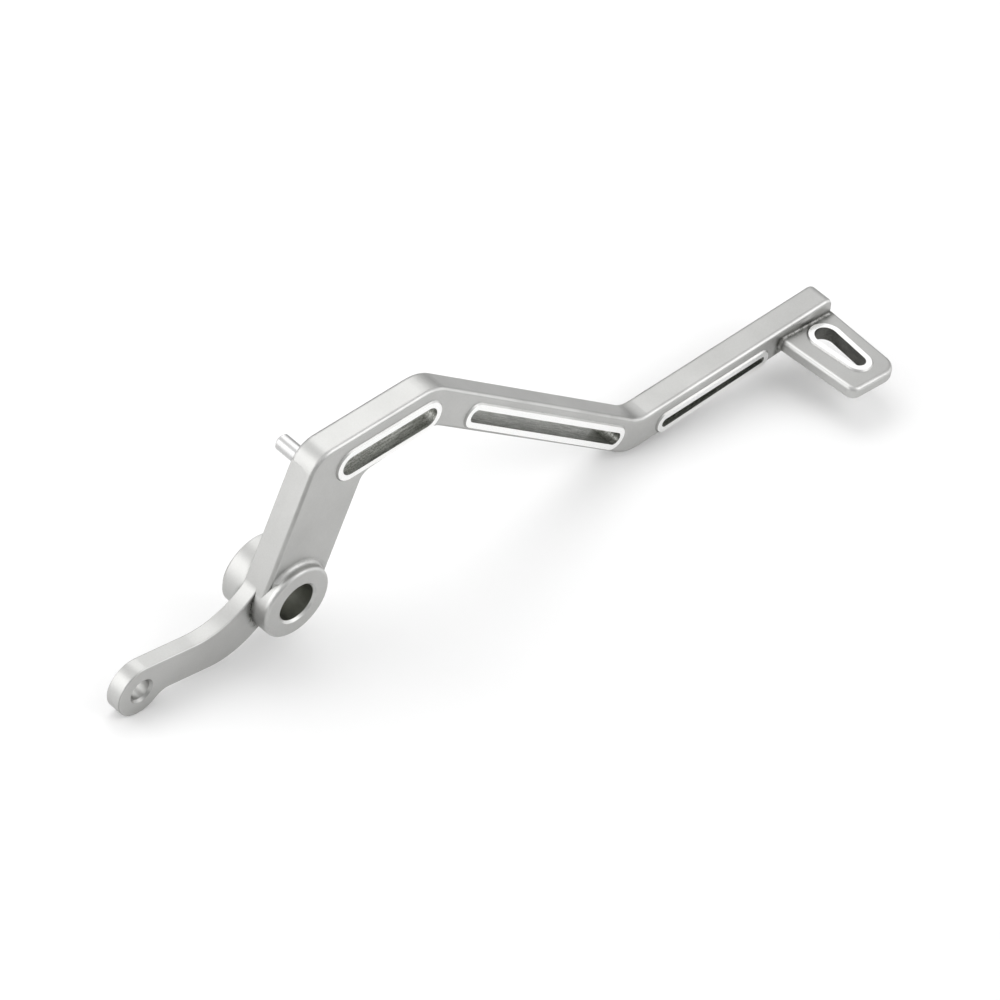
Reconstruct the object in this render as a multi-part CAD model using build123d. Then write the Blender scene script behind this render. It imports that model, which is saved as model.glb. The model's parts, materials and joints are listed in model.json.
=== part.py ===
from build123d import *
import os
from math import acos, degrees, radians, tan

# Rear brake pedal for the right side of a motorbike.
# One cast aluminium body (arm, hub, push-rod lever and toe plate) with a steel spring pin pressed into it.
# The pivot axis is Y through the origin, +X runs forward to the toe, +Z is up and -Y faces outboard.
# Lengths are in millimetres, angles in degrees.

# Arm: a flat bar of four straight runs, from the pivot up, over the shoulder and down to the toe
BAR_THICKNESS = 8.5
BAR_EDGE_ROUND = 1.3
RISE_LENGTH = 43.0
RISE_SLOPE = 75.0
RISE_WIDTH = 22.8
SHOULDER_LENGTH = 34.7
SHOULDER_SLOPE = 7.2
SHOULDER_START_WIDTH = 17.4
SHOULDER_END_WIDTH = 15.2
REACH_LENGTH = 105.0
REACH_SLOPE = -32.9
REACH_START_WIDTH = 11.8
REACH_END_WIDTH = 11.3
TOE_RUN_DROP = 0.5
TOE_RUN_LENGTH = 80.9
TOE_RUN_SLOPE = 6.6
TOE_RUN_START_WIDTH = 11.0
TOE_RUN_END_WIDTH = 9.3

# Rounding of the bar's corners in side view, on the upper and the lower side of each bend
REAR_BEND_OUTER_ROUND = 8.0
REAR_BEND_INNER_ROUND = 3.5
CREST_OUTER_ROUND = 14.0
CREST_INNER_ROUND = 8.0
DIP_INNER_ROUND = 10.0
DIP_OUTER_ROUND = 14.0
TOE_TIP_ROUND = 3.0

# Hub: a barrel through the foot of the rise, standing proud of the bar on both sides
HUB_DIAMETER = 23.0
HUB_PROUD_OUTBOARD = 3.0
HUB_PROUD_INBOARD = 7.0
HUB_RIM_ROUND = 1.1
HUB_BACK_CHAMFER = 0.8
HUB_ROOT_ROUND = 1.5
PIVOT_BORE_DIAMETER = 12.0
PIVOT_BORE_CHAMFER = 0.7

# Push-rod lever: an S-shaped tail behind the hub, thinner than the bar, ending in a round eye
LEVER_THICKNESS = 5.0
LEVER_SETBACK = 3.25
LEVER_EDGE_ROUND = 0.4
LEVER_NECK_WIDTH = 11.3
LEVER_KNEE_BACK = 31.0
LEVER_KNEE_DROP = 9.2
LEVER_BELLY_LENGTH = 8.0
LEVER_TOP_SEAT = 150.0
LEVER_BELLY_SEAT = 235.0
LEVER_CORNER_ROUND = 5.0
LEVER_BELLY_ROUND = 1.5
EYE_BACK = 49.3
EYE_DROP = 10.2
EYE_DIAMETER = 16.4
EYE_BLEND_ROUND = 6.0
EYE_HOLE_DIAMETER = 6.5
EYE_HOLE_CHAMFER = 0.7

# Toe plate: a level plate that stands out from the outboard face at the toe
PLATE_LENGTH = 23.0
PLATE_WIDTH = 28.1
PLATE_THICKNESS = 4.4
PLATE_LEAD = 1.2
PLATE_LIFT = 1.85
PLATE_INSET = 1.2
PLATE_FRONT_TAPER = 1.6
PLATE_REAR_TAPER = 2.3
PLATE_FRONT_CORNER = 5.5
PLATE_REAR_CORNER = 3.2
PLATE_EDGE_ROUND = 1.4
PLATE_ROOT_ROUND = 0.8

# Slots through the bar and the toe plate, each inside a raised lip
LIP_WIDTH = 1.75
LIP_HEIGHT = 0.5
LIP_FLANK = 40.0
LIP_ROOT = 1.5
SLOT_EDGE_CHAMFER = 0.4
SHOULDER_SLOT_TOP = 6.3
SHOULDER_SLOT_START = 4.0
SHOULDER_SLOT_STOP = 3.0
SHOULDER_SLOT_RADIUS = 3.3
REACH_SLOT_TOP = 4.6
REACH_SLOT_START = 20.6
REACH_SLOT_STOP = 9.2
REACH_SLOT_RADIUS = 2.0
TOE_RUN_SLOT_TOP = 5.5
TOE_RUN_SLOT_START = 13.3
TOE_RUN_SLOT_START_RADIUS = 1.5
TOE_RUN_SLOT_STOP = 29.3
TOE_RUN_SLOT_STOP_RADIUS = 1.1
PLATE_SLOT_ROOT_RADIUS = 3.5
PLATE_SLOT_OUTER_RADIUS = 2.3
PLATE_SLOT_FRONT_GAP = 10.5
PLATE_SLOT_ROOT_GAP = 6.7
PLATE_SLOT_OUTER_GAP = 8.5

# Spring pin: a turned post on the inboard face below the rear bend, with a thinner shank in a blind hole
PIN_DIAMETER = 5.0
PIN_PROUD = 12.8
PIN_BELOW_BEND = 5.7
PIN_END_CHAMFER = 0.6
PIN_SEAT_CHAMFER = 0.3
SHANK_DIAMETER = 4.0
SHANK_LENGTH = 5.0
SHANK_CHAMFER = 0.5
SHANK_CLEARANCE = 0.02
SHANK_END_GAP = 0.5

OUTBOARD_FACE = -BAR_THICKNESS / 2
INBOARD_FACE = BAR_THICKNESS / 2
HUB_RADIUS = HUB_DIAMETER / 2
EYE_RADIUS = EYE_DIAMETER / 2
EYE_CENTRE = Vector(-EYE_BACK, -EYE_DROP)


class Run:
    """One straight run of the bar in side view: its centre line and its upper and lower edges."""

    def __init__(self, start, length, slope, start_width, end_width):
        along = Vector(1, 0).rotate(Axis.Z, slope)
        across = Vector(0, 1).rotate(Axis.Z, slope)
        self.length = length
        self.start = start
        self.end = start + along * length
        self.along = along
        self.upper = (start + across * start_width / 2, self.end + across * end_width / 2)
        self.lower = (start - across * start_width / 2, self.end - across * end_width / 2)

    def below_upper_edge(self, distance, drop):
        """The point at a distance along the upper edge, and square below it."""
        edge = (self.upper[1] - self.upper[0]).normalized()
        return self.upper[0] + edge * distance + edge.rotate(Axis.Z, -90) * drop

    def lower_edge_height(self, x):
        """The height of the lower edge at a place along X."""
        first, last = self.lower
        return first.Y + (last - first).Y * (x - first.X) / (last - first).X

    def flat(self, margin):
        """The run's face in side view, less a margin along both edges and at its far end."""
        upper = (self.upper[1] - self.upper[0]).normalized()
        lower = (self.lower[1] - self.lower[0]).normalized()
        below = upper.rotate(Axis.Z, -90) * margin
        above = lower.rotate(Axis.Z, 90) * margin
        return polygon(
            self.upper[0] + below,
            self.upper[1] + below - upper * margin,
            self.lower[1] + above - lower * margin,
            self.lower[0] + above,
        )


rise = Run(Vector(0, 0), RISE_LENGTH, RISE_SLOPE, RISE_WIDTH, RISE_WIDTH)
shoulder = Run(rise.end, SHOULDER_LENGTH, SHOULDER_SLOPE, SHOULDER_START_WIDTH, SHOULDER_END_WIDTH)
reach = Run(shoulder.end, REACH_LENGTH, REACH_SLOPE, REACH_START_WIDTH, REACH_END_WIDTH)
toe_run = Run(
    reach.end - Vector(0, TOE_RUN_DROP),
    TOE_RUN_LENGTH,
    TOE_RUN_SLOPE,
    TOE_RUN_START_WIDTH,
    TOE_RUN_END_WIDTH,
)

PLATE_FRONT = toe_run.end.X + PLATE_LEAD
PLATE_REAR = PLATE_FRONT - PLATE_LENGTH
PLATE_OUTER = OUTBOARD_FACE - PLATE_WIDTH
PLATE_UNDERSIDE = toe_run.lower_edge_height(PLATE_REAR) + PLATE_LIFT
PLATE_TOP = PLATE_UNDERSIDE + PLATE_THICKNESS
PIN_PLACE = rise.end - rise.along * PIN_BELOW_BEND


def crossing(first, second):
    """Where two straight edges meet, each given by two points."""
    along = first[1] - first[0]
    other = second[1] - second[0]
    share = (second[0] - first[0]).cross(other).Z / along.cross(other).Z
    return first[0] + along * share


def polygon(*points):
    return make_face(Polyline(*points, close=True))


def rounded(sketch, corners):
    """The sketch with each of the given corner points rounded to its radius."""
    for point, radius in corners:
        sketch = fillet(sketch.vertices().sort_by_distance(point)[0], radius)
    return sketch


def side_solid(sketch, inboard, outboard):
    """A solid of a side-view sketch, between two places along Y."""
    return extrude(Plane.XZ.offset(-inboard) * sketch, inboard - outboard, dir=(0, -1, 0))


def long_hole(start, end, start_radius, end_radius):
    """A slot with round ends, tapered where its two end radii differ."""
    along = end - start
    lean = degrees(acos((start_radius - end_radius) / along.length))
    left = along.normalized().rotate(Axis.Z, lean)
    right = along.normalized().rotate(Axis.Z, -lean)
    flanks = polygon(
        start + left * start_radius,
        end + left * end_radius,
        end + right * end_radius,
        start + right * start_radius,
    )
    return flanks + Pos(start) * Circle(start_radius) + Pos(end) * Circle(end_radius)


def bar():
    runs = [rise, shoulder, reach, toe_run]
    upper = [crossing(first.upper, second.upper) for first, second in zip(runs, runs[1:])]
    lower = [crossing(first.lower, second.lower) for first, second in zip(runs, runs[1:])]
    tip = toe_run.upper[1]
    outline = polygon(rise.upper[0], *upper, tip, toe_run.lower[1], *reversed(lower), rise.lower[0])
    outline = rounded(
        outline,
        [
            (upper[0], REAR_BEND_OUTER_ROUND),
            (lower[0], REAR_BEND_INNER_ROUND),
            (upper[1], CREST_OUTER_ROUND),
            (lower[1], CREST_INNER_ROUND),
            (upper[2], DIP_INNER_ROUND),
            (lower[2], DIP_OUTER_ROUND),
            (tip, TOE_TIP_ROUND),
        ],
    )
    solid = side_solid(outline, INBOARD_FACE, OUTBOARD_FACE)
    return fillet(solid.faces().filter_by(Axis.Y).edges(), BAR_EDGE_ROUND)


def hub():
    barrel = side_solid(
        Circle(HUB_RADIUS), INBOARD_FACE + HUB_PROUD_INBOARD, OUTBOARD_FACE - HUB_PROUD_OUTBOARD
    )
    barrel = fillet(barrel.edges().group_by(Axis.Y)[0], HUB_RIM_ROUND)
    return chamfer(barrel.edges().group_by(Axis.Y)[-1], HUB_BACK_CHAMFER)


def hub_roots():
    """The hollow rounds where the hub rises from both faces of the bar, run out along the bar's edges."""
    top = OUTBOARD_FACE - HUB_ROOT_ROUND
    foot = HUB_RADIUS + HUB_ROOT_ROUND
    inside = HUB_RADIUS - HUB_ROOT_ROUND
    waist = Vector(foot, top) + Vector(-1, 1).normalized() * HUB_ROOT_ROUND
    section = make_face(
        Polyline((HUB_RADIUS, top), (inside, top), (inside, OUTBOARD_FACE), (foot, OUTBOARD_FACE))
        + ThreePointArc((foot, OUTBOARD_FACE), waist, (HUB_RADIUS, top))
    )
    flat = Plane.XZ.offset(-OUTBOARD_FACE) * rise.flat(BAR_EDGE_ROUND)
    root = revolve(section, Axis.Y) & extrude(flat, HUB_ROOT_ROUND, dir=(0, -1, 0), taper=45)
    return root + mirror(root, about=Plane.XZ)


def lever():
    outboard = OUTBOARD_FACE + LEVER_SETBACK
    knee = Vector(-LEVER_KNEE_BACK, -LEVER_KNEE_DROP + LEVER_NECK_WIDTH / 2)
    # the straight upper edge leaves the knee and touches the eye
    to_knee = knee - EYE_CENTRE
    touch = EYE_CENTRE + to_knee.normalized().rotate(
        Axis.Z, degrees(acos(EYE_RADIUS / to_knee.length))
    ) * EYE_RADIUS
    tail = (knee - touch).normalized()
    down = tail.rotate(Axis.Z, -90)
    belly = knee + down * LEVER_NECK_WIDTH + tail * LEVER_BELLY_LENGTH
    top_seat = Vector(HUB_RADIUS, 0).rotate(Axis.Z, LEVER_TOP_SEAT)
    belly_seat = Vector(HUB_RADIUS, 0).rotate(Axis.Z, LEVER_BELLY_SEAT)
    # the straight lower edge runs back to the round of the eye
    sunk = LEVER_NECK_WIDTH - EYE_RADIUS
    heel = EYE_CENTRE + down * sunk + tail * (EYE_RADIUS**2 - sunk**2) ** 0.5
    outline = make_face(
        Polyline(belly, heel, EYE_CENTRE, touch, knee)
        + TangentArc(knee, top_seat, tangent=tail)
        + Polyline(top_seat, (0, 0), belly_seat)
        + TangentArc(belly, belly_seat, tangent=tail)
    )
    rise_strip = polygon(rise.upper[0], rise.upper[1], rise.lower[1], rise.lower[0])
    outline = outline + Pos(EYE_CENTRE) * Circle(EYE_RADIUS) + Circle(HUB_RADIUS) + rise_strip
    rear_edge = Line(*rise.upper)
    corner = outline.vertices().filter_by(lambda v: rear_edge.distance_to(v) < 0.001).sort_by(Axis.Y)[0]
    outline = rounded(
        outline,
        [
            (corner, LEVER_CORNER_ROUND),
            (heel, EYE_BLEND_ROUND),
            (belly_seat, LEVER_BELLY_ROUND),
        ],
    )
    solid = side_solid(outline, outboard + LEVER_THICKNESS, outboard)
    return fillet(solid.faces().filter_by(Axis.Y).edges(), LEVER_EDGE_ROUND)


def toe_plate():
    inner = INBOARD_FACE - PLATE_INSET
    front_corner = Vector(PLATE_FRONT - PLATE_FRONT_TAPER, PLATE_OUTER)
    rear_corner = Vector(PLATE_REAR + PLATE_REAR_TAPER, PLATE_OUTER)
    plan = polygon((PLATE_REAR, inner), (PLATE_FRONT, inner), front_corner, rear_corner)
    plan = rounded(plan, [(front_corner, PLATE_FRONT_CORNER), (rear_corner, PLATE_REAR_CORNER)])
    solid = extrude(Plane.XY.offset(PLATE_UNDERSIDE) * plan, PLATE_THICKNESS)
    return fillet(solid.faces().filter_by(Axis.Z).edges(), PLATE_EDGE_ROUND)


def plate_root():
    """The hollow round where the toe plate leaves the bar, kept on the flat of the bar's face."""
    wall = side_solid(toe_run.flat(-PLATE_LENGTH), INBOARD_FACE, OUTBOARD_FACE)
    blank = wall + toe_plate()
    seam = blank.faces().filter_by(lambda face: face.inner_wires())[0].inner_wires()[0]
    blank = blank.fillet(PLATE_ROOT_ROUND, seam.edges())
    return blank & side_solid(toe_run.flat(BAR_EDGE_ROUND), OUTBOARD_FACE, OUTBOARD_FACE - PLATE_ROOT_ROUND)


def lip(face, outline):
    """A raised lip round a slot, with sloped flanks, standing on a face of the body."""
    top = face.offset(LIP_HEIGHT) * outline(LIP_WIDTH)
    foot = face * outline(LIP_WIDTH + LIP_HEIGHT * tan(radians(LIP_FLANK)))
    raised = extrude(top, LIP_HEIGHT, dir=-face.z_dir, taper=-LIP_FLANK)
    return raised + extrude(foot, LIP_ROOT, dir=-face.z_dir)


def opening(face, depth, outline, face_chamfer, back_chamfer):
    """The cut of a hole from a face down to a depth, with the chamfers of its two mouths."""
    cut = extrude(face * outline, depth, dir=-face.z_dir)
    if face_chamfer:
        mouth = face.offset(-face_chamfer) * outline
        cut += extrude(mouth, face_chamfer, dir=face.z_dir, taper=-45)
    if back_chamfer:
        mouth = face.offset(back_chamfer - depth) * outline
        cut += extrude(mouth, back_chamfer, dir=-face.z_dir, taper=-45)
    return cut


def slot_outline(start, end, start_radius, end_radius):
    """The outline of a slot, as a function of how far it is grown."""
    return lambda grow: long_hole(start, end, start_radius + grow, end_radius + grow)


def bar_slot(run, top, start_gap, start_radius, stop_gap, stop_radius):
    """A slot of a run, with its upper side parallel to the run's upper edge."""
    start = run.below_upper_edge(start_gap, top + start_radius)
    stop = run.below_upper_edge(run.length - stop_gap, top + stop_radius)
    return slot_outline(start, stop, start_radius, stop_radius)


def shoulder_slot():
    return bar_slot(
        shoulder,
        SHOULDER_SLOT_TOP,
        SHOULDER_SLOT_START,
        SHOULDER_SLOT_RADIUS,
        SHOULDER_SLOT_STOP,
        SHOULDER_SLOT_RADIUS,
    )


def reach_slot():
    return bar_slot(
        reach, REACH_SLOT_TOP, REACH_SLOT_START, REACH_SLOT_RADIUS, REACH_SLOT_STOP, REACH_SLOT_RADIUS
    )


def toe_run_slot():
    return bar_slot(
        toe_run,
        TOE_RUN_SLOT_TOP,
        TOE_RUN_SLOT_START,
        TOE_RUN_SLOT_START_RADIUS,
        TOE_RUN_SLOT_STOP,
        TOE_RUN_SLOT_STOP_RADIUS,
    )


def plate_slot():
    middle = PLATE_FRONT - PLATE_SLOT_FRONT_GAP
    root = Vector(middle, OUTBOARD_FACE - PLATE_SLOT_ROOT_GAP)
    outer = Vector(middle, PLATE_OUTER + PLATE_SLOT_OUTER_GAP)
    return slot_outline(root, outer, PLATE_SLOT_ROOT_RADIUS, PLATE_SLOT_OUTER_RADIUS)


def spring_pin():
    post = PIN_DIAMETER / 2
    shank = SHANK_DIAMETER / 2
    tip = INBOARD_FACE + PIN_PROUD
    foot = INBOARD_FACE - SHANK_LENGTH
    section = polygon(
        (0, foot), (shank, foot), (shank, INBOARD_FACE), (post, INBOARD_FACE), (post, tip), (0, tip)
    )
    corners = [
        ((post, tip), PIN_END_CHAMFER),
        ((post, INBOARD_FACE), PIN_SEAT_CHAMFER),
        ((shank, foot), SHANK_CHAMFER),
    ]
    for corner, size in corners:
        section = chamfer(section.vertices().sort_by_distance(corner)[0], size)
    return Pos(PIN_PLACE.X, 0, PIN_PLACE.Y) * revolve(section, Axis.Y)


def pedal_body():
    outboard = Plane.XZ.offset(-OUTBOARD_FACE)
    plate_top = Plane.XY.offset(PLATE_TOP)
    slots = [
        (outboard, BAR_THICKNESS, shoulder_slot()),
        (outboard, BAR_THICKNESS, reach_slot()),
        (outboard, BAR_THICKNESS, toe_run_slot()),
        (plate_top, PLATE_THICKNESS, plate_slot()),
    ]
    solid = bar() + hub() + hub_roots() + lever() + toe_plate() + plate_root()
    for face, wall, outline in slots:
        solid += lip(face, outline)
    for face, wall, outline in slots:
        solid -= opening(face.offset(LIP_HEIGHT), LIP_HEIGHT + wall, outline(0), 0, SLOT_EDGE_CHAMFER)
    solid -= opening(
        outboard.offset(HUB_PROUD_OUTBOARD),
        HUB_PROUD_OUTBOARD + BAR_THICKNESS + HUB_PROUD_INBOARD,
        Circle(PIVOT_BORE_DIAMETER / 2),
        PIVOT_BORE_CHAMFER,
        PIVOT_BORE_CHAMFER,
    )
    solid -= opening(
        outboard.offset(-LEVER_SETBACK),
        LEVER_THICKNESS,
        Pos(EYE_CENTRE) * Circle(EYE_HOLE_DIAMETER / 2),
        EYE_HOLE_CHAMFER,
        EYE_HOLE_CHAMFER,
    )
    pin_hole = Pos(PIN_PLACE) * Circle(SHANK_DIAMETER / 2 + SHANK_CLEARANCE)
    return solid - side_solid(pin_hole, INBOARD_FACE, INBOARD_FACE - SHANK_LENGTH - SHANK_END_GAP)


os.makedirs("parts", exist_ok=True)
export_step(pedal_body(), "parts/pedal_body.step")
export_step(spring_pin(), "parts/spring_pin.step")
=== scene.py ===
import json

import bpy
from mathutils import Matrix, Vector


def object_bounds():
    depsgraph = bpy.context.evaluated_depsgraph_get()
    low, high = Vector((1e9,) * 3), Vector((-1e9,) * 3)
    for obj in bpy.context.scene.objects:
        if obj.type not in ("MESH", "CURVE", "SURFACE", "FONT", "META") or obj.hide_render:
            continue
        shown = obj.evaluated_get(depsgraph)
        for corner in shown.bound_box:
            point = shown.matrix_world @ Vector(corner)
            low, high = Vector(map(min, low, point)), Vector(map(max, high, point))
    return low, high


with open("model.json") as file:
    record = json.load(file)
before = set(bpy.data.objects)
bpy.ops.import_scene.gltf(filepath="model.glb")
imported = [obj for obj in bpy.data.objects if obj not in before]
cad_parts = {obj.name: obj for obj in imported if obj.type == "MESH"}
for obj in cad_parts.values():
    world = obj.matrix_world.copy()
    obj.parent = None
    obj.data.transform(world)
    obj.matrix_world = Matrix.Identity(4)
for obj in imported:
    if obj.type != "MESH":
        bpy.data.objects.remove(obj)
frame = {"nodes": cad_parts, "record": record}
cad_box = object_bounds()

# Pedal body
# One aluminium casting of hub, lever, cranked arm and toe plate, blasted with fine beads to a satin skin.
# The lips round its slots are then milled bright, and the pivot bore and the eye are drilled.


def add_node(tree, kind, **settings):
    """A new node of a kind, with its own settings."""
    node = tree.nodes.new("ShaderNode" + kind)
    for name, value in settings.items():
        setattr(node, name, value)
    return node


def feed(tree, socket, value):
    """Gives a socket a fixed value, or the output of another node."""
    if isinstance(value, bpy.types.NodeSocket):
        tree.links.new(value, socket)
    else:
        socket.default_value = value


def maths(tree, operation, *values):
    """The result of a sum on numbers or outputs."""
    node = add_node(tree, "Math", operation=operation)
    for socket, value in zip(node.inputs, values):
        feed(tree, socket, value)
    return node.outputs["Value"]


def vector_maths(tree, operation, *values):
    """The result of a sum on points, as a point or as a number."""
    node = add_node(tree, "VectorMath", operation=operation)
    for socket, value in zip(node.inputs, values):
        feed(tree, socket, value)
    return node.outputs["Value" if operation in ("DOT_PRODUCT", "LENGTH") else "Vector"]


def noise(tree, place, scale, detail, roughness):
    """Plain noise over a place, from 0 to 1."""
    node = add_node(tree, "TexNoise")
    feed(tree, node.inputs["Vector"], place)
    feed(tree, node.inputs["Scale"], scale)
    feed(tree, node.inputs["Detail"], detail)
    feed(tree, node.inputs["Roughness"], roughness)
    return node.outputs["Fac"]


def new_group(name, inputs, outputs):
    """A shader node group with named number sockets, and the sockets of its two end nodes."""
    group = bpy.data.node_groups.new(name, "ShaderNodeTree")
    for label, value in inputs.items():
        socket = group.interface.new_socket(label, in_out="INPUT", socket_type="NodeSocketFloat")
        socket.default_value = value
    for label in outputs:
        group.interface.new_socket(label, in_out="OUTPUT", socket_type="NodeSocketFloat")
    start = group.nodes.new("NodeGroupInput")
    end = group.nodes.new("NodeGroupOutput")
    return group, start.outputs, end.inputs


# Slow patches of tone and fine specks, which handling and the blasting leave on bare metal
mottle, given, result = new_group(
    "mottle", {"Patch Size": 0.02, "Speck Size": 0.001}, ["Patches", "Specks"]
)
place = add_node(mottle, "TexCoord").outputs["Object"]
patch_scale = maths(mottle, "DIVIDE", 1, given["Patch Size"])
feed(mottle, result["Patches"], noise(mottle, place, patch_scale, detail=3, roughness=0.55))
speck_scale = maths(mottle, "DIVIDE", 1, given["Speck Size"])
feed(mottle, result["Specks"], noise(mottle, place, speck_scale, detail=2, roughness=0.6))

# Fine parallel marks that a cutter leaves, at a spacing along X, Y and Z
cutter_lines, given, result = new_group(
    "cutter_lines", {"Spacing X": 0.01, "Spacing Y": 0.01, "Spacing Z": 0.01}, ["Lines"]
)
place = add_node(cutter_lines, "TexCoord").outputs["Object"]
spacing = add_node(cutter_lines, "CombineXYZ")
for axis in "XYZ":
    feed(cutter_lines, spacing.inputs[axis], given["Spacing " + axis])
stretched = vector_maths(cutter_lines, "DIVIDE", place, spacing.outputs["Vector"])
feed(cutter_lines, result["Lines"], noise(cutter_lines, stretched, scale=1, detail=2, roughness=0.6))

# Places of the lips and the plate's root, and how far each finish and the painted corner shade reach, in
# metres
BAR_LIP_PLANE = -0.00475
PLATE_LIP_PLANE = -0.00304
PLATE_ROOT = (0.1922, -0.00425, -0.00354)
PLATE_ROOT_MARGIN = 0.00125
PLATE_ROOT_REACH = 0.0024
CORNER_REACH = 0.003
EYE_MOUTH = 0.0007
MASK_REACH = 0.00006
MILLIMETRE = 0.001

# Each slot in metres: the two ends of its middle line, then the radius at each end
SHOULDER_SLOT = ((0.014922, 0, 0.040984), (0.0425, 0, 0.043583), 0.0033, 0.0033)
REACH_SLOT = ((0.062432, 0, 0.034074), (0.125474, 0, -0.006923), 0.002, 0.002)
TOE_SLOT = ((0.147042, 0, -0.011758), (0.185091, 0, -0.007358), 0.0015, 0.0011)
PLATE_SLOT = ((0.20478, -0.01095, 0), (0.20478, -0.02385, 0), 0.0035, 0.0023)

# The axes that show when the body is seen from its side, from above and from its end
SIDE_VIEW = (1, 0, 1)
PLAN_VIEW = (1, 1, 0)
END_VIEW = (0, 1, 1)

# How far a surface turns to an axis, 1 being flat on, where an effect begins and where it is complete
FLAT_ON = 0.9
ROUND_BEGINS = (0.15, 0.45)
ROUND_ENDS = (0.99, 0.85)
FACES_UP = (0.3, 0.5)
FACES_AWAY = (0.45, 0.15)

# How open a place is, 1 being a plain face, where a corner begins and where it is complete
CORNER_OPENNESS = (0.88, 0.6)
CORNER_SAMPLES = 8


def new_material(name):
    """A new material, its node tree and its shader."""
    material = bpy.data.materials.new(name)
    material.use_nodes = True
    tree = material.node_tree
    return material, tree, tree.nodes["Principled BSDF"]


def split(tree, vector):
    """The X, Y and Z of a place or a direction."""
    node = add_node(tree, "SeparateXYZ")
    feed(tree, node.inputs["Vector"], vector)
    return node.outputs


def ramp(tree, value, start, end):
    """A soft step from 0 to 1 as a value goes from start to end."""
    node = add_node(tree, "MapRange", interpolation_type="SMOOTHSTEP")
    feed(tree, node.inputs["Value"], value)
    feed(tree, node.inputs["From Min"], start)
    feed(tree, node.inputs["From Max"], end)
    return node.outputs["Result"]


def both(tree, first, second):
    """A mask of where two masks meet."""
    return maths(tree, "MULTIPLY", first, second)


def either(tree, first, second):
    """A mask of where one or the other of two masks lies."""
    return maths(tree, "MAXIMUM", first, second)


def outside(tree, mask):
    """A mask of where another mask does not lie."""
    return maths(tree, "SUBTRACT", 1, mask)


def length_in_view(tree, vector, view):
    """The length that a vector shows in a view."""
    return vector_maths(tree, "LENGTH", vector_maths(tree, "MULTIPLY", vector, view))


def slot_walls(tree, place, start, end, start_radius, end_radius):
    """A mask of a slot's walls, from the two ends of its middle line and the radius at each."""
    run = Vector(end) - Vector(start)
    from_start = vector_maths(tree, "SUBTRACT", place, start)
    along = vector_maths(tree, "DOT_PRODUCT", from_start, run)
    share = maths(tree, "DIVIDE", along, run.length_squared)
    share.node.use_clamp = True
    beside = vector_maths(tree, "SUBTRACT", from_start, vector_maths(tree, "MULTIPLY", share, run))
    radius = maths(tree, "MULTIPLY_ADD", share, end_radius - start_radius, start_radius + MASK_REACH)
    return maths(tree, "LESS_THAN", vector_maths(tree, "LENGTH", beside), radius)


def rounds(tree, lean):
    """A mask of the rounded edges, where the surface leans between side on and flat on."""
    tilt = maths(tree, "ABSOLUTE", lean)
    return both(tree, ramp(tree, tilt, *ROUND_BEGINS), ramp(tree, tilt, *ROUND_ENDS))


material, tree, shader = new_material("blasted_aluminium")
surface = add_node(tree, "TexCoord").outputs
place = surface["Object"]
spot = split(tree, place)
facing = split(tree, surface["Normal"])
on_plate = maths(tree, "LESS_THAN", spot["Y"], PLATE_ROOT[1] - PLATE_ROOT_MARGIN)

# Where the cutter went over the lips
on_bar_lips = maths(tree, "COMPARE", spot["Y"], BAR_LIP_PLANE, MASK_REACH)
bar_lips = both(tree, on_bar_lips, maths(tree, "LESS_THAN", facing["Y"], -FLAT_ON))
on_plate_lip = maths(tree, "COMPARE", spot["Z"], PLATE_LIP_PLANE, MASK_REACH)
plate_lip = both(tree, on_plate_lip, maths(tree, "GREATER_THAN", facing["Z"], FLAT_ON))
milled = either(tree, bar_lips, both(tree, plate_lip, on_plate))

# Where the slot walls are, which get painted shade over their grain
in_side_view = vector_maths(tree, "MULTIPLY", place, SIDE_VIEW)
in_plan_view = vector_maths(tree, "MULTIPLY", place, PLAN_VIEW)
shaded_plate_slot_walls = slot_walls(tree, in_plan_view, *PLATE_SLOT)
shaded_slot_walls = shaded_plate_slot_walls
for slot in (SHOULDER_SLOT, REACH_SLOT, TOE_SLOT):
    shaded_slot_walls = either(tree, shaded_slot_walls, slot_walls(tree, in_side_view, *slot))

# Where the drill went through the hub and the eye, which both get painted shade
mounts = {mount["name"]: mount for mount in frame["record"]["mounts"]}
bore_radius = mounts["pivot_bore"]["dims"]["r_mm"] * MILLIMETRE + MASK_REACH
bore = maths(tree, "LESS_THAN", length_in_view(tree, place, SIDE_VIEW), bore_radius)
eye_radius = mounts["rod_eye"]["dims"]["r_mm"] * MILLIMETRE + EYE_MOUTH + MASK_REACH
from_eye = vector_maths(tree, "SUBTRACT", place, mounts["rod_eye"]["pos_m"])
eye = maths(tree, "LESS_THAN", length_in_view(tree, from_eye, SIDE_VIEW), eye_radius)

# Rounded edges that face up, and the plate's, get a painted highlight and a smoother gloss; those facing
# away get painted shade
bar_rounds = rounds(tree, facing["Y"])
upper_rounds = both(tree, bar_rounds, ramp(tree, facing["Z"], *FACES_UP))
plate_rounds = both(tree, rounds(tree, facing["Z"]), on_plate)
highlight_and_gloss_rounds = either(tree, upper_rounds, plate_rounds)
lower_rounds = both(tree, bar_rounds, ramp(tree, facing["Z"], *FACES_AWAY))
painted_shade_rounds = both(tree, lower_rounds, outside(tree, on_plate))
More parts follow.
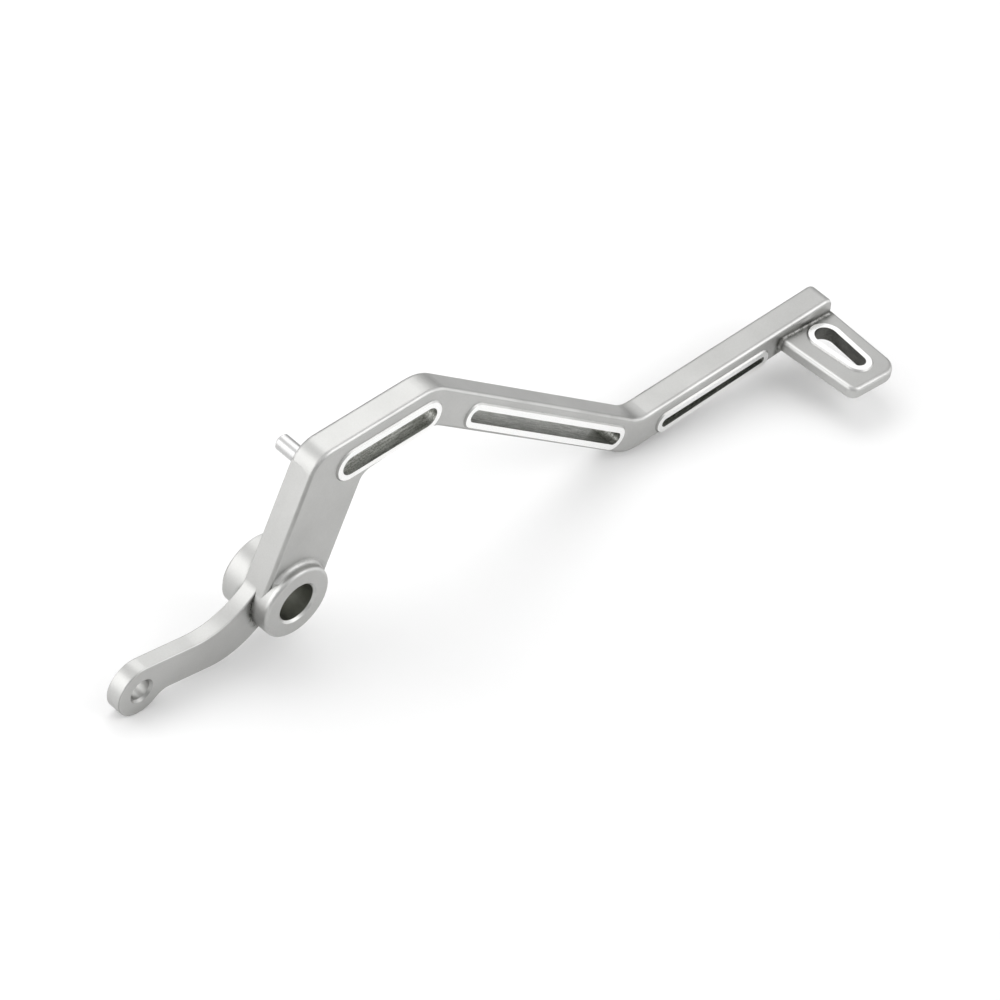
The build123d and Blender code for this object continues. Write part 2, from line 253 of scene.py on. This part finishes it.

# Where painted shade goes: in tight corners, along the plate's root and down the rear end of that root
openness = add_node(tree, "AmbientOcclusion", samples=CORNER_SAMPLES, only_local=True)
openness.inputs["Distance"].default_value = CORNER_REACH
tight = ramp(tree, openness.outputs["AO"], *CORNER_OPENNESS)
from_root = vector_maths(tree, "SUBTRACT", place, PLATE_ROOT)
by_root_line = ramp(tree, length_in_view(tree, from_root, END_VIEW), PLATE_ROOT_REACH, 0)
ahead_of_end = ramp(tree, spot["X"], PLATE_ROOT[0] - PLATE_ROOT_REACH, PLATE_ROOT[0])
by_root_end = ramp(tree, length_in_view(tree, from_root, PLAN_VIEW), PLATE_ROOT_REACH, 0)
below_root = maths(tree, "LESS_THAN", spot["Z"], PLATE_ROOT[2])
in_root = either(tree, both(tree, by_root_line, ahead_of_end), both(tree, by_root_end, below_root))
in_corners = either(tree, tight, in_root)

# Colours of the finishes, of the painted highlight and of the painted shade
BLASTED_GREY = (0.40, 0.40, 0.39, 1)
BLASTED_PALE = (0.60, 0.60, 0.59, 1)
# Painted highlight on the rounded edges that face up and on the plate's rounds
PAINTED_ROUND_HIGHLIGHT = (0.63, 0.63, 0.62, 1)
# Painted shade on the rounded edges that face away
PAINTED_ROUND_SHADE = (0.32, 0.32, 0.31, 1)
MILLED_BRIGHT = (0.96, 0.96, 0.95, 1)
# Painted shade in the eye hole and its chamfer
EYE_SHADE_GREY = (0.40, 0.40, 0.39, 1)
# Painted shade in the slot walls, from dark to grey by their grain
SLOT_WALL_SHADE_DARK = (0.20, 0.205, 0.185, 1)
SLOT_WALL_SHADE_GREY = (0.52, 0.525, 0.50, 1)
# Deeper painted shade in the plate's slot walls, from dark to grey by their grain
PLATE_WALL_SHADE_DARK = (0.03, 0.03, 0.027, 1)
PLATE_WALL_SHADE_GREY = (0.16, 0.16, 0.15, 1)
# Painted shade in the pivot bore, from dark to grey by patches
BORE_SHADE_DARK = (0.26, 0.265, 0.24, 1)
BORE_SHADE_GREY = (0.38, 0.385, 0.35, 1)
# Painted shade in tight corners and along the plate's root
PAINTED_CORNER_SHADE = (0.11, 0.11, 0.1, 1)
SIDE_ON_TINT = (0.8, 0.8, 0.8, 1)

# Share of the finer mark where two marks make one tone
SKIN_SPECKS = 0.4
WALL_STREAKS = 0.5
PLATE_SPECKS = 0.3
CORNER_SHADE_SPECKS = 0.35

# Tones of a mark where a finish or painted light comes in; painted corner shade's strength, thin to thick
# spots
WALL_GRAIN = (0.36, 0.66)
PLATE_GRAIN = (0.35, 0.65)
CORNER_SHADE_SPOTS = (0.38, 0.6)
HIGHLIGHT_PATCHES = (0.2, 0.6)
SHADE_PATCHES = (0.1, 0.7)
CORNER_SHADE_STRENGTH = (0.45, 0.95)

# Gloss and relief of the finishes
SATIN_ROUGHNESS = (0.36, 0.46)
HIGHLIGHT_ROUND_ROUGHNESS = 0.38
MILLED_ROUGHNESS = (0.14, 0.26)
CAST_RELIEF = 3
BODY_RELIEF = 0.12
RELIEF_DEPTH = 0.0001


def mix(tree, kind, share, first, second):
    """Something between two colours or two numbers, by a share."""
    node = add_node(tree, "Mix", data_type=kind)
    feed(tree, node.inputs["Factor"], share)
    feed(tree, node.inputs["A"], first)
    feed(tree, node.inputs["B"], second)
    return node.outputs["Result"]


def mix_colours(tree, share, first, second):
    """A colour between two, by a share."""
    return mix(tree, "RGBA", share, first, second)


def mix_values(tree, share, first, second):
    """A number between two, by a share."""
    return mix(tree, "FLOAT", share, first, second)


def place_group(tree, group, **values):
    """A group placed in a material, with its own values."""
    node = add_node(tree, "Group", node_tree=group)
    for label, value in values.items():
        feed(tree, node.inputs[label.replace("_", " ")], value)
    return node.outputs


def add_relief(tree, shader, height, strength):
    """Fine relief from a height, given to a shader."""
    bump = add_node(tree, "Bump")
    bump.inputs["Strength"].default_value = strength
    bump.inputs["Distance"].default_value = RELIEF_DEPTH
    feed(tree, bump.inputs["Height"], height)
    feed(tree, shader.inputs["Normal"], bump.outputs["Normal"])


# Marks of the blasting, of the mould and of the cutter
skin_marks = place_group(tree, mottle, Patch_Size=0.016, Speck_Size=0.0005)
wall_marks = place_group(tree, mottle, Patch_Size=0.0016, Speck_Size=0.0004)
wall_streaks = place_group(tree, cutter_lines, Spacing_X=0.006, Spacing_Y=0.0007, Spacing_Z=0.006)
mill_marks = place_group(tree, cutter_lines, Spacing_X=0.004, Spacing_Y=0.0002, Spacing_Z=0.0002)

# The tones that the marks make, and the masks that they break up
skin_tone = mix_values(tree, SKIN_SPECKS, skin_marks["Patches"], skin_marks["Specks"])
wall_tone = mix_values(tree, WALL_STREAKS, wall_marks["Specks"], wall_streaks["Lines"])
wall_grain = ramp(tree, wall_tone, *WALL_GRAIN)
plate_tone = mix_values(tree, PLATE_SPECKS, skin_marks["Patches"], wall_marks["Specks"])
plate_grain = ramp(tree, plate_tone, *PLATE_GRAIN)
corner_shade_tone = mix_values(tree, CORNER_SHADE_SPECKS, wall_marks["Patches"], wall_marks["Specks"])
corner_shade_strength = mix_values(tree, ramp(tree, corner_shade_tone, *CORNER_SHADE_SPOTS), *CORNER_SHADE_STRENGTH)
# Painted shade in tight corners and at the plate's root, in thin and thick spots, kept off the slot walls
painted_corner_shade = both(tree, both(tree, in_corners, corner_shade_strength), outside(tree, shaded_slot_walls))
# Painted highlight on the rounded edges, broken up by patches
painted_highlight_rounds = both(tree, highlight_and_gloss_rounds, ramp(tree, skin_marks["Patches"], *HIGHLIGHT_PATCHES))
# Painted shade on the rounded edges that face away, broken up by patches
painted_shade_on_rounds = both(tree, painted_shade_rounds, ramp(tree, skin_marks["Patches"], *SHADE_PATCHES))

# The blasted skin, with each other finish, painted highlight and painted shade laid over the ones before
# it
skin = mix_colours(tree, skin_tone, BLASTED_GREY, BLASTED_PALE)
for mask, finish in (
    # painted highlight on the rounded edges
    (painted_highlight_rounds, PAINTED_ROUND_HIGHLIGHT),
    # painted shade on the rounded edges that face away
    (painted_shade_on_rounds, PAINTED_ROUND_SHADE),
    # painted shade in the slot walls, over their grain
    (shaded_slot_walls, mix_colours(tree, wall_grain, SLOT_WALL_SHADE_DARK, SLOT_WALL_SHADE_GREY)),
    # deeper painted shade in the plate's slot walls
    (shaded_plate_slot_walls, mix_colours(tree, plate_grain, PLATE_WALL_SHADE_DARK, PLATE_WALL_SHADE_GREY)),
    # painted shade in tight corners and at the plate's root
    (painted_corner_shade, PAINTED_CORNER_SHADE),
    (milled, MILLED_BRIGHT),
    # painted shade in the pivot bore
    (bore, mix_colours(tree, wall_marks["Patches"], BORE_SHADE_DARK, BORE_SHADE_GREY)),
    # painted shade in the eye
    (eye, EYE_SHADE_GREY),
):
    skin = mix_colours(tree, mask, skin, finish)
feed(tree, shader.inputs["Base Color"], skin)
shader.inputs["Metallic"].default_value = 1.0
shader.inputs["Specular Tint"].default_value = SIDE_ON_TINT

# Gloss and fine relief
satin = mix_values(tree, skin_marks["Specks"], *SATIN_ROUGHNESS)
polished = mix_values(tree, mill_marks["Lines"], *MILLED_ROUGHNESS)
gloss = mix_values(tree, highlight_and_gloss_rounds, satin, HIGHLIGHT_ROUND_ROUGHNESS)
feed(tree, shader.inputs["Roughness"], mix_values(tree, milled, gloss, polished))
wall_height = maths(tree, "MULTIPLY", wall_grain, CAST_RELIEF)
height = mix_values(tree, shaded_slot_walls, skin_marks["Specks"], wall_height)
add_relief(tree, shader, mix_values(tree, milled, height, mill_marks["Lines"]), BODY_RELIEF)
frame["nodes"]["pedal_body"].data.materials[0] = material

# Spring pin
# A turned steel post with a chamfered end, ground bright, for the hook of the return spring. Its thinner
# shank is pressed into a blind hole in the arm's inboard face.
PIN_STEEL = (0.55, 0.55, 0.55, 1)
PIN_STEEL_DULL = (0.47, 0.47, 0.465, 1)
GROUND_ROUGHNESS = (0.24, 0.34)
PIN_RELIEF = 0.015

material, tree, shader = new_material("ground_steel")
patches = place_group(tree, mottle, Patch_Size=0.006, Speck_Size=0.0003)["Patches"]
rings = place_group(tree, cutter_lines, Spacing_X=0.02, Spacing_Y=0.0004, Spacing_Z=0.02)["Lines"]
feed(tree, shader.inputs["Base Color"], mix_colours(tree, patches, PIN_STEEL_DULL, PIN_STEEL))
shader.inputs["Metallic"].default_value = 1.0
feed(tree, shader.inputs["Roughness"], mix_values(tree, rings, *GROUND_ROUGHNESS))
add_relief(tree, shader, rings, PIN_RELIEF)
frame["nodes"]["spring_pin"].data.materials[0] = material

# Floor
# A wide, plain sheet of matt white paper. It lies at the height of the pedal's lowest point and takes the
# pedal's soft shadow.
FLOOR_HALF_SIDE = 6.0
FLOOR_WHITE = (0.96, 0.96, 0.96, 1)
PAPER_ROUGHNESS = 0.9

lowest = cad_box[0].z
floor_corners = [
    (-FLOOR_HALF_SIDE, -FLOOR_HALF_SIDE, lowest),
    (FLOOR_HALF_SIDE, -FLOOR_HALF_SIDE, lowest),
    (FLOOR_HALF_SIDE, FLOOR_HALF_SIDE, lowest),
    (-FLOOR_HALF_SIDE, FLOOR_HALF_SIDE, lowest),
]
mesh = bpy.data.meshes.new("floor")
mesh.from_pydata(floor_corners, [], [(0, 1, 2, 3)])
floor = bpy.data.objects.new("floor", mesh)
bpy.context.scene.collection.objects.link(floor)
material, tree, shader = new_material("paper")
shader.inputs["Base Color"].default_value = FLOOR_WHITE
shader.inputs["Roughness"].default_value = PAPER_ROUGHNESS
shader.inputs["Specular IOR Level"].default_value = 0.0
mesh.materials.append(material)

# Light
# A room with grey walls under a pale ceiling, and six soft boxes turned to the pedal: two over its far
# side, two behind the lever and two in front to the right. The camera does not see the boxes.
WALL_GREY = (0.3, 0.3, 0.3, 1)
CEILING_PALE = (0.74, 0.74, 0.74, 1)
WALL_TO_CEILING = (0.08, 0.6)
LAMP_AIM = Vector((0.07, 0, 0.02))

world = bpy.data.worlds.new("room")
world.use_nodes = True
tree = world.node_tree
towards = split(tree, add_node(tree, "TexCoord").outputs["Generated"])
above = ramp(tree, towards["Z"], *WALL_TO_CEILING)
room = mix_colours(tree, above, WALL_GREY, CEILING_PALE)
feed(tree, tree.nodes["Background"].inputs["Color"], room)
bpy.context.scene.world = world


def soft_box(name, place, width, height, power):
    """A rectangular lamp at a place, turned to the pedal."""
    lamp = bpy.data.lights.new(name, "AREA")
    lamp.shape = "RECTANGLE"
    lamp.size = width
    lamp.size_y = height
    lamp.energy = power
    holder = bpy.data.objects.new(name, lamp)
    holder.location = place
    holder.rotation_euler = (LAMP_AIM - Vector(place)).to_track_quat("-Z", "Y").to_euler()
    holder.visible_camera = False
    bpy.context.scene.collection.objects.link(holder)


soft_box("top_box", (0.17, 0.21, 0.42), width=0.35, height=0.35, power=0.54)
soft_box("far_box", (0.766, 0.383, 0.498), width=0.5, height=0.5, power=0.3)
soft_box("back_box", (-0.335, 0.423, 0.704), width=0.8, height=0.6, power=0.6)
soft_box("left_box", (-0.41, 0.23, 0.175), width=0.75, height=0.4, power=1.5)
soft_box("front_box", (0.567, -0.796, 0.595), width=0.8, height=0.9, power=3.2)
soft_box("right_box", (1.104, -0.337, 0.189), width=0.6, height=0.4, power=0.9)

# Camera
# A long lens over the outboard rear of the pedal, rolled a little, as the photograph was taken. Its place
# is in metres, and its lens and sensor are in millimetres.
CAMERA_PLACE = Vector((-0.981756, -0.845282, 1.203316))
CAMERA_RIGHT = Vector((0.71263, -0.68550, 0.14915))
CAMERA_UP = Vector((0.38761, 0.56195, 0.73073))
CAMERA_LENS = 236.2
CAMERA_SENSOR = 36

camera = bpy.data.cameras.new("camera")
camera.lens = CAMERA_LENS
camera.sensor_width = CAMERA_SENSOR
holder = bpy.data.objects.new("camera", camera)
turn = Matrix((CAMERA_RIGHT, CAMERA_UP, CAMERA_RIGHT.cross(CAMERA_UP))).transposed()
holder.matrix_world = Matrix.Translation(CAMERA_PLACE) @ turn.to_4x4()
bpy.context.scene.collection.objects.link(holder)
bpy.context.scene.camera = holder
bpy.context.scene.view_settings.view_transform = "Standard"
